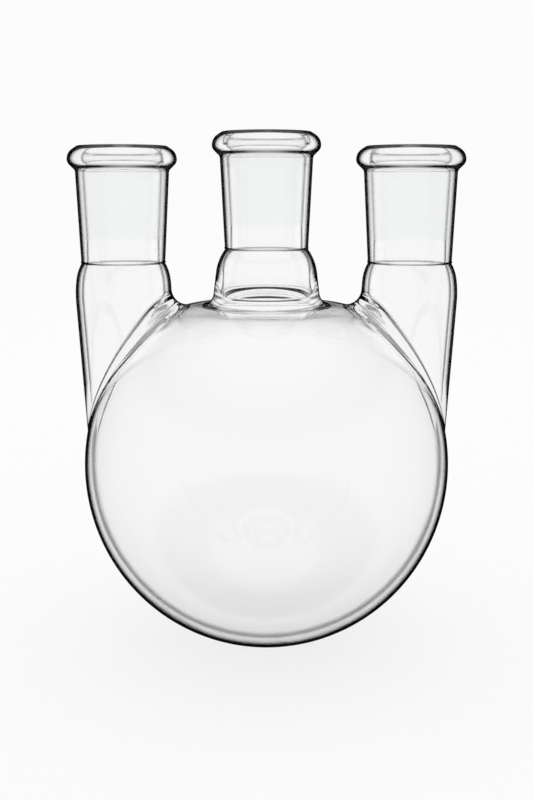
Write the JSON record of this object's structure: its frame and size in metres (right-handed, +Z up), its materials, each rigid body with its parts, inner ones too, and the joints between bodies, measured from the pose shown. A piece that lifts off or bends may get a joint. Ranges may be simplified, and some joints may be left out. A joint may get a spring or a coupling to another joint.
{
  "type": "three-neck round-bottom flask",
  "caption": "Spherical glass reaction flask with a flattened crown and parallel upright necks, each ending in a ground standard taper socket with a bead rim.",
  "frame": {"origin": "lowest point of the bulb, on the axis of the centre neck; the mount ring_seat is there", "axes": "+Z up the centre neck; +X towards the right side neck as seen from the front, the side necks standing in the XZ plane; +Y to the back"},
  "size_m": [0.1414, 0.131, 0.1841],
  "materials": {
    "clear_glass": "clear fire-polished borosilicate glass",
    "joint_glass": "clear borosilicate glass, finely ground and matt inside the socket"
  },
  "bodies": {
    "root": {"bulb": "clear_glass", "centre_neck": "clear_glass", "left_side_neck": "clear_glass", "right_side_neck": "clear_glass", "centre_socket": "joint_glass", "left_socket": "joint_glass", "right_socket": "joint_glass"}
  },
  "joints": []
}
